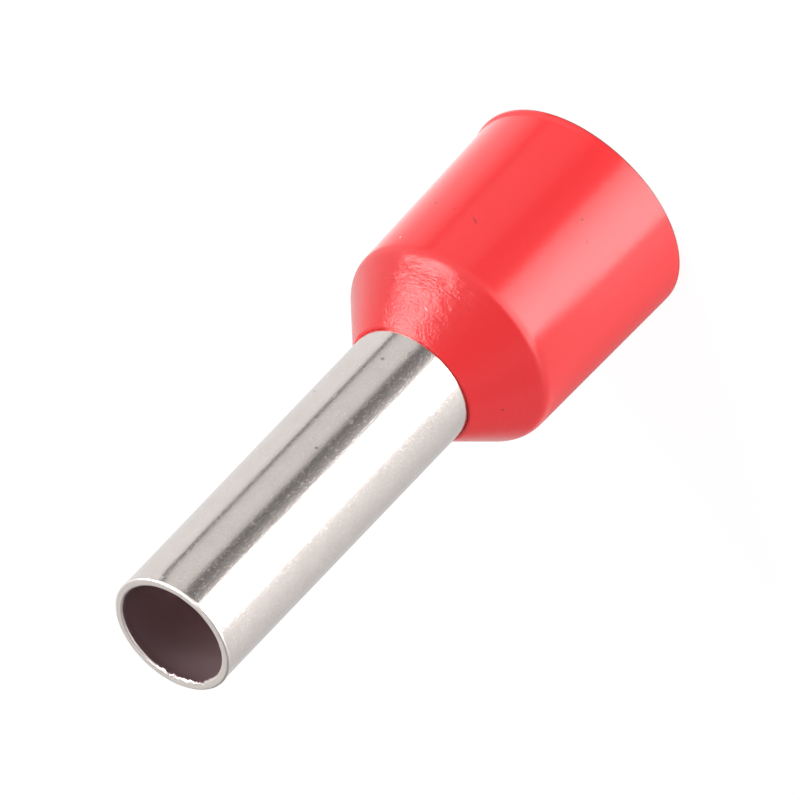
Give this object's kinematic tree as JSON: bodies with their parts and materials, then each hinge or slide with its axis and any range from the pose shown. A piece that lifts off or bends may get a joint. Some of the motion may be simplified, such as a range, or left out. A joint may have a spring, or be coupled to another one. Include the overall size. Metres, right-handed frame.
{
  "type": "insulated wire end ferrule",
  "caption": "Tin-plated copper sleeve with a red moulded collar, crimped on stranded wire so that its bare end fits a terminal.",
  "frame": {"origin": "centre of the collar's rear rim, on the plane that the ferrule stands on", "axes": "+Z along the ferrule's axis, from the collar's rear rim to the sleeve's open mouth; round about Z, so X and Y are free"},
  "size_m": [0.0072, 0.0072, 0.02],
  "materials": {
    "sleeve": "bright tin plating on drawn copper, with a fine grain along the tube",
    "collar": "semi-gloss red polypropylene, moulded, a little translucent"
  },
  "bodies": {
    "root": {"crimp_sleeve": "sleeve", "insulating_collar": "collar"}
  },
  "joints": []
}
